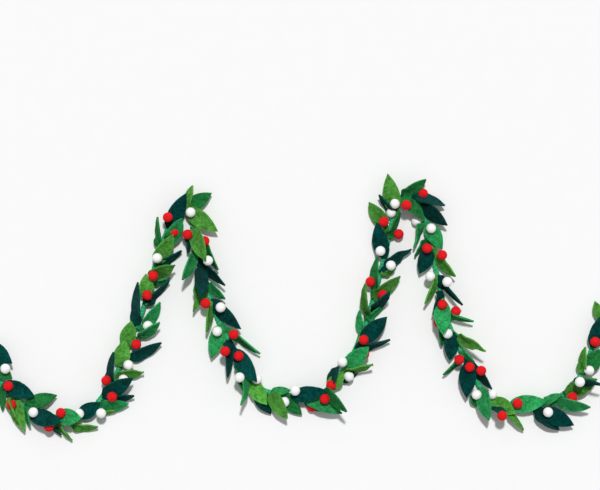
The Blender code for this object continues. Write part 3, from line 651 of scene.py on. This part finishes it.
def roll_ball(kind):
    """One felted wool ball, rolled by hand and so a little uneven."""
    bpy.ops.object.select_all(action="DESELECT")
    bpy.ops.mesh.primitive_ico_sphere_add(subdivisions=BALL_FINENESS, radius=BERRY_RADIUS)
    ball = bpy.context.active_object
    ball.name = "felted_ball_%d" % kind
    start_edit(ball)
    bpy.ops.transform.vertex_random(offset=BALL_LUMP, uniform=0.0, normal=1.0, seed=kind)
    bpy.ops.mesh.vertices_smooth(factor=0.5, repeat=2)
    pick("VERT", lambda vert: vert.co.z < -BALL_FOOT * BERRY_RADIUS)
    bpy.ops.transform.translate(value=(0.0, 0.0, BALL_PRESSED * BERRY_RADIUS))
    return end_edit()


def copy_of(pattern, name):
    """A piece with its own copy of a pattern's mesh."""
    piece = bpy.data.objects.new(name, pattern.data.copy())
    piece.data.name = name
    bpy.context.scene.collection.objects.link(piece)
    return piece


def put_on_mesh(mesh, name, values):
    """Store one number for each corner of a mesh, for its felt to read."""
    layer = mesh.attributes.new(name=name, type="FLOAT", domain="POINT")
    layer.data.foreach_set("value", values)


def drawn_out(pose, s):
    """How far a curled leaf's thin end turns to its left, and the share of its width left."""
    if pose.row.form != "curled":
        return 0.0, 1.0
    t = smooth_step((s - CURL_FROM) / (1.0 - CURL_FROM))
    return CURL * math.sin(CURL_SWEEP * t), 1.0 - CURL_THIN * t


def relief(pose, s, v, half):
    """How far the felt stands off its middle line: the cup, the crease and the waves."""
    lift = CUP * half * outline(s) * smooth_step((s + CUP_AHEAD) / CUP_OVER)
    if pose.row.form == "creased":
        return lift * abs(v)
    if pose.row.form == "wavy":
        return lift * v * v + WAVE * v * math.sin(WAVE_TURNS * 2.0 * math.pi * s)
    return lift * v * v


def lay_leaf(pattern, name, pose):
    """A leaf bent from its flat cut into the pose of its sprig."""
    piece = copy_of(pattern, name)
    mesh = piece.data
    half = full_half(pose)
    seed = Vector((half * SEED_STRETCH[0], pose.tip_height * SEED_STRETCH[1],
                   pose.row.tip_x))
    frames = {}
    rims = []
    tones_and_shade = []
    for vert in mesh.vertices:
        x, y, z = vert.co
        s = x / LEAF_LENGTH
        u = share_of_blade(pose, s) if x >= 0.0 else stalk_share(pose) * (1.0 + x / STEM)
        u = min(max(u, 0.0), 1.0)
        key = round(u, 5)
        if key not in frames:
            frames[key] = leaf_frame(pose, u)
        middle, across, off = frames[key]
        side = y * half / (0.5 * LEAF_WIDTH)
        v = min(max(side / (half * cut_share(s)), -1.0), 1.0)
        turn, left = drawn_out(pose, s)
        ragged = RAGGED * noise.noise(Vector((x * RAGGED_SCALE, v * 2.0, 0.0)) + seed)
        lump = UNEVEN * noise.noise(Vector((x, y, 0.0)) * UNEVEN_SCALE + seed)
        lump += z * THIN_RIM * smooth_step((abs(v) - THIN_FROM) / (1.0 - THIN_FROM))
        vert.co = (middle + across * (side * left * (1.0 + ragged) + turn)
                   + off * (relief(pose, s, v, half) + z + lump))
        rims.append(smooth_step((abs(v) - RIM_FROM) / RIM_OVER))
        # Painted shade: the tone is darkened towards the leaf's foot, where it tucks in against
        # the cord
        tones_and_shade.append(pose.row.tone - FOOT_SHADE * (1.0 - min(max(s, 0.0), 1.0)) ** 2)
    put_on_mesh(mesh, "rim", rims)
    put_on_mesh(mesh, "tone", tones_and_shade)
    mesh.shade_smooth()
    return piece


def place_ball(ball, name, centre, turn):
    """A felted ball at its place, leaning and turned its own way."""
    piece = copy_of(ball, name)
    lean = (BALL_LEAN * math.sin(turn), BALL_LEAN * math.cos(turn), turn)
    spin = Euler(lean).to_matrix()
    for vert in piece.data.vertices:
        vert.co = centre + spin @ vert.co
    piece.data.shade_smooth()
    return piece


def wind_cord(name):
    """The wound cord: turns of yarn round a core, along the route, flat where it rests."""
    route = [Vector((place.x, place.y, CORD_AXIS_HEIGHT)) for place in smooth_walk(WALK_STEPS)]
    line = bpy.data.curves.new(name, "CURVE")
    line.dimensions = "3D"
    line.twist_mode = "Z_UP"
    line.bevel_depth = CORD_RADIUS
    line.bevel_resolution = CORD_AROUND // 2 - 2
    line.use_fill_caps = True
    path = even_steps(route, CORD_STEP)
    spline = line.splines.new("POLY")
    spline.points.add(len(path) - 1)
    for point, place in zip(spline.points, path):
        point.co = (place.x, place.y, place.z, 1.0)
    piece = bpy.data.objects.new(name, line)
    bpy.context.scene.collection.objects.link(piece)
    bpy.ops.object.select_all(action="DESELECT")
    piece.select_set(True)
    bpy.context.view_layer.objects.active = piece
    bpy.ops.object.convert(target="MESH")
    piece.select_set(False)
    shape_winding(piece.data, path)
    return piece, path


def even_steps(route, step):
    """Points at even steps along a route."""
    path = [route[0]]
    left = step
    for start, end in zip(route, route[1:]):
        span = (end - start).length
        along = left
        while along < span:
            path.append(start.lerp(end, along / span))
            along += step
        left = along - span
    return path


def shape_winding(mesh, path):
    """Raise the turns of yarn on the plain tube."""
    line = KDTree(len(path))
    for index, place in enumerate(path):
        line.insert(place, index)
    line.balance()
    grooves = []
    for vert in mesh.vertices:
        middle, index, _ = line.find(vert.co)
        ahead = path[min(index + 1, len(path) - 1)] - path[max(index - 1, 0)]
        out = vert.co - middle
        left = Vector((-ahead.y, ahead.x, 0.0)).normalized()
        angle = math.atan2(out.z, out.dot(left))
        turn = index * CORD_STEP / WIND_PITCH - angle / (2.0 * math.pi)
        groove = (1.0 - abs(math.sin(math.pi * turn))) ** 2
        lump = WIND_LUMP * noise.noise(vert.co * WIND_LUMP_SCALE)
        vert.co = middle + out * (1.0 - WIND_DEPTH * groove) + out.normalized() * lump
        vert.co.z = max(vert.co.z, 0.0)
        grooves.append(groove)
    # The grooves' depth is kept for the felt, which paints shade into them
    put_on_mesh(mesh, "groove", grooves)
    mesh.shade_smooth()


def screen_colour(shade, lift=1.0):
    """A 0 to 255 screen colour as the light that it stands for."""
    linear = [(value / 255.0 + 0.055) ** 2.4 / 1.055 ** 2.4 if value > 10 else value / 3294.6
              for value in shade]
    return tuple(min(value * lift, 1.0) for value in linear) + (1.0,)


class Term:
    """A shader socket that takes part in arithmetic."""

    def __init__(self, recipe, socket):
        self.recipe = recipe
        self.socket = socket

    def worked(self, operation, *terms):
        node = self.recipe.add("Math", {"operation": operation}, dict(enumerate(terms)))
        return Term(self.recipe, node.outputs[0])

    def __add__(self, other):
        return self.worked("ADD", self, other)

    def __sub__(self, other):
        return self.worked("SUBTRACT", self, other)

    def __rsub__(self, other):
        return self.worked("SUBTRACT", other, self)

    def __mul__(self, other):
        return self.worked("MULTIPLY", self, other)

    __radd__ = __add__
    __rmul__ = __mul__


class Recipe:
    """The nodes of one material."""

    def __init__(self, name):
        self.material = bpy.data.materials.new(name)
        self.material.use_nodes = True
        self.tree = self.material.node_tree
        self.tree.nodes.clear()

    def add(self, kind, settings, sockets):
        """One node: its settings first, then the values or links of its sockets."""
        node = self.tree.nodes.new("ShaderNode" + kind)
        for key, value in settings.items():
            setattr(node, key, value)
        for key, value in sockets.items():
            if isinstance(value, Term):
                self.tree.links.new(value.socket, node.inputs[key])
            else:
                node.inputs[key].default_value = value
        return node

    def place(self):
        """The piece's own coordinates, in metres."""
        return Term(self, self.add("TexCoord", {}, {}).outputs["Object"])

    def marked(self, name):
        """A number that is stored at each corner of the mesh."""
        return Term(self, self.add("Attribute", {"attribute_name": name}, {}).outputs["Fac"])

    def noise(self, place, scale, detail=2.0, distortion=0.0):
        """A soft random pattern, about 0.5 on average."""
        node = self.add("TexNoise", {}, {"Vector": place, "Scale": scale, "Detail": detail,
                                         "Distortion": distortion})
        return Term(self, node.outputs["Fac"])

    def spread(self, term, low, high):
        """A term stretched so that low becomes 0 and high becomes 1, with no overshoot."""
        node = self.add("MapRange", {"interpolation_type": "SMOOTHSTEP"},
                        {"Value": term, "From Min": low, "From Max": high})
        return Term(self, node.outputs["Result"])

    def mix(self, one, other, share):
        """A colour between two others."""
        node = self.add("Mix", {"data_type": "RGBA"}, {0: share, 6: one, 7: other})
        return Term(self, node.outputs[2])

    def toned_and_shaded(self, colour, tone):
        """A colour made lighter or darker by its piece's tone: partly the felt's own tone, partly
        painted shade.
        """
        node = self.add("HueSaturation", {}, {"Color": colour, "Value": tone * TONE_AND_SHADE_GAIN + 1.0})
        return Term(self, node.outputs["Color"])

    def finish(self, colour, roughness, height, bump):
        """Close the material with a matte, slightly downy surface."""
        relief = self.add("Bump", {}, {"Height": height, "Strength": bump, "Distance": FELT_BUMP})
        shader = self.add("BsdfPrincipled", {}, {
            "Base Color": colour, "Roughness": roughness, "Specular IOR Level": GLOSS,
            "Sheen Weight": SHEEN, "Sheen Roughness": SHEEN_ROUGHNESS,
            "Normal": Term(self, relief.outputs["Normal"])})
        output = self.add("OutputMaterial", {}, {})
        self.tree.links.new(shader.outputs["BSDF"], output.inputs["Surface"])
        return self.material


def leaf_felt(slot):
    """Thick wool felt: clumps of fibre, fine crossing hairs, painted shade in the pits between
    the clumps and a paler cut rim.
    """
    dark, light = FELTS[slot]
    recipe = Recipe(slot)
    place = recipe.place()
    cloud = recipe.spread(recipe.noise(place, CLOUD_SCALE, 2.0, 0.4), 0.34, 0.66)
    clumps = recipe.spread(recipe.noise(place, MOTTLE_SCALE, 3.0, 0.8), 0.36, 0.62)
    fibres = recipe.spread(recipe.noise(place, FIBRE_SCALE, 3.0, 2.4), 0.36, 0.64)
    # Painted shade: the pits between the fibre clumps are darkened, and sunk in the bump too
    shaded_pits = 1 - recipe.spread(recipe.noise(place, PIT_SCALE, 2.0, 1.2), 0.30, 0.46)
    hairs = recipe.spread(recipe.noise(place, HAIR_SCALE, 1.0, 3.2), 0.56, 0.74)
    shade = cloud * 0.26 + clumps * 0.40 + fibres * 0.34
    # The mottle: partly the wool's own, partly painted shade where the bump is low
    body = recipe.mix(screen_colour(dark), screen_colour(light), shade)
    downy = recipe.mix(body, screen_colour(light, 1.5), hairs * 0.30)
    pit_shaded = recipe.mix(downy, screen_colour(dark, 0.6), shaded_pits * 0.55)
    edged = recipe.mix(pit_shaded, screen_colour(light, 1.1), recipe.marked("rim") * 0.25)
    # Each leaf's tone, partly its felt's own and partly painted shade, with the painted shade
    # towards its foot
    colour = recipe.toned_and_shaded(edged, recipe.marked("tone"))
    roughness = fibres * 0.10 + 0.86
    height = clumps * 0.5 + fibres * 0.6 + hairs * 0.3 - shaded_pits * 0.5
    return recipe.finish(colour, roughness, height, 0.75)


def berry_felt(slot):
    """Wool rolled into a ball: a tight surface with faint swirls and stray hairs."""
    dark, light = FELTS[slot]
    recipe = Recipe(slot)
    place = recipe.place()
    swirls = recipe.spread(recipe.noise(place, SWIRL_SCALE, 2.0, 2.6), 0.30, 0.70)
    fibres = recipe.spread(recipe.noise(place, BALL_FIBRE_SCALE, 2.0, 1.6), 0.35, 0.68)
    # The mottle: partly the wool's own, partly painted shade where the bump is low
    body = recipe.mix(screen_colour(dark), screen_colour(light), swirls * 0.6 + fibres * 0.4)
    roughness = fibres * 0.10 + 0.84
    return recipe.finish(body, roughness, swirls * 0.5 + fibres * 0.4, 0.35)


def cord_felt(slot):
    """Wool yarn wound round a core: painted shade in the grooves between the turns, pale on them.
    """
    dark, light = FELTS[slot]
    recipe = Recipe(slot)
    place = recipe.place()
    groove = recipe.marked("groove")
    clumps = recipe.spread(recipe.noise(place, YARN_CLUMP_SCALE, 3.0, 0.8), 0.30, 0.70)
    fibres = recipe.spread(recipe.noise(place, YARN_FIBRE_SCALE, 2.0, 2.4), 0.34, 0.70)
    # The mottle: partly the wool's own, partly painted shade where the bump is low
    body = recipe.mix(screen_colour(dark), screen_colour(light), clumps * 0.45 + fibres * 0.5)
    # Painted shade: the grooves between the turns are darkened by their depth
    colour = recipe.mix(body, screen_colour(dark, 0.8), groove * 0.6)
    roughness = fibres * 0.12 + 0.84
    return recipe.finish(colour, roughness, clumps * 0.4 + fibres * 0.6, 0.45)


def surface_finish():
    """The pale surface under the garland."""
    recipe = Recipe("pale_surface")
    grain = recipe.noise(recipe.place(), SURFACE_GRAIN_SCALE)
    colour = recipe.mix(*SURFACE_SHADES, grain)
    shader = recipe.add("BsdfPrincipled", {}, {"Base Color": colour, "Roughness": 0.85,
                                               "Specular IOR Level": 0.1})
    output = recipe.add("OutputMaterial", {}, {})
    recipe.tree.links.new(shader.outputs["BSDF"], output.inputs["Surface"])
    return recipe.material


def aim_camera():
    """The camera straight above the garland, far off as a studio's long lens is."""
    lens = bpy.data.cameras.new("camera")
    lens.lens = CAMERA_LENS
    lens.sensor_width = SENSOR_WIDTH
    lens.clip_end = CAMERA_REACH
    camera = bpy.data.objects.new("camera", lens)
    bpy.context.scene.collection.objects.link(camera)
    middle = on_plan(*PICTURE_MIDDLE)
    distance = PICTURE_WIDTH * GRID * CAMERA_LENS / SENSOR_WIDTH
    camera.location = (middle.x, middle.y, distance)
    bpy.context.scene.camera = camera


def light_studio():
    """A soft key light from the top of the picture and an even white room."""
    key = bpy.data.lights.new("key_light", "SUN")
    key.energy = KEY_STRENGTH
    key.angle = KEY_ANGLE
    lamp = bpy.data.objects.new("key_light", key)
    lamp.rotation_euler = Vector(KEY_DIRECTION).to_track_quat("-Z", "Y").to_euler()
    bpy.context.scene.collection.objects.link(lamp)
    room = bpy.data.worlds.new("room")
    room.use_nodes = True
    glow = room.node_tree.nodes["Background"]
    glow.inputs["Color"].default_value = (1.0, 1.0, 1.0, 1.0)
    glow.inputs["Strength"].default_value = ROOM_STRENGTH
    bpy.context.scene.world = room
    bpy.context.scene.view_settings.view_transform = "Standard"


def lay_surface():
    """The pale surface, just under the garland."""
    bpy.ops.object.select_all(action="DESELECT")
    bpy.ops.mesh.primitive_plane_add(size=SURFACE_SIZE, location=(0.0, 0.0, 0.0))
    surface = bpy.context.active_object
    surface.name = "pale_surface"
    start_edit(surface)
    bpy.ops.transform.translate(value=(0.0, 0.0, -SURFACE_GAP))
    bpy.ops.mesh.subdivide(number_cuts=3)
    end_edit()
    surface.data.materials.append(surface_finish())


def dress_cord():
    """The wound cord, in place of its plain tube."""
    piece, path = wind_cord("wound_cord")
    piece.data.materials.append(cord_felt("cord_felt"))
    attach(piece, "root")
    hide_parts("cord")
    length = sum((ahead - behind).length for behind, ahead in zip(path, path[1:]))


def dress_leaf(pose, name, patterns, felts):
    """One leaf in its felt."""
    piece = lay_leaf(patterns[stalk_share(pose) > 0.0], name, pose)
    slot = "leaf_" + pose.row.felt
    piece.data.materials.append(felts[slot])
    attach(piece, "root")
    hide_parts("sprig_%02d" % pose.row.sprig)
    shares = [step / MEASURE_STEPS for step in range(MEASURE_STEPS + 1)]
    middles = [leaf_frame(pose, share)[0] for share in shares]
    length = sum((ahead - behind).length for behind, ahead in zip(middles, middles[1:]))
    width = 2.0 * full_half(pose)
    widths = [cut_share(blade_share(pose, share)) for share in shares]
    area = width * length * sum(widths) / len(widths)


def dress_berry(berry, name, balls, felts, turn):
    """One berry in its felt."""
    piece = place_ball(balls[turn % BALL_KINDS], name, find_ball(berry), BALL_TURN * turn)
    slot = "berry_" + berry.felt
    piece.data.materials.append(felts[slot])
    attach(piece, "root")
    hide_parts("sprig_%02d" % berry.sprig)


def dress_sprigs():
    """All leaves and berries, each in the place that its packed sprig gives it."""
    patterns = {
        False: cut_pattern("leaf_pattern", False),
        True: cut_pattern("stalk_pattern", True),
    }
    balls = [roll_ball(kind) for kind in range(BALL_KINDS)]
    felts = {slot: (leaf_felt if slot.startswith("leaf") else berry_felt)(slot)
             for slot in FELTS if slot != "cord_felt"}
    walk = smooth_walk(WALK_STEPS)
    for number in sorted({row.sprig for row in LEAVES}):
        rows = [row for row in LEAVES if row.sprig == number]
        foot = foot_of(rows, walk)
        tree = corners_of(number)
        for index, row in enumerate(rows):
            pose = find_pose(row, foot, tree)
            dress_leaf(pose, "leaf_%02d_%d" % (number, index + 1), patterns, felts)
    for index, berry in enumerate(BERRIES):
        name = "berry_%02d_%d" % (berry.sprig, berry.leaf + 1)
        dress_berry(berry, name, balls, felts, index)
    for blank in [*patterns.values(), *balls]:
        bpy.data.objects.remove(blank, do_unlink=True)


aim_camera()
dress_cord()
dress_sprigs()
lay_surface()
light_studio()
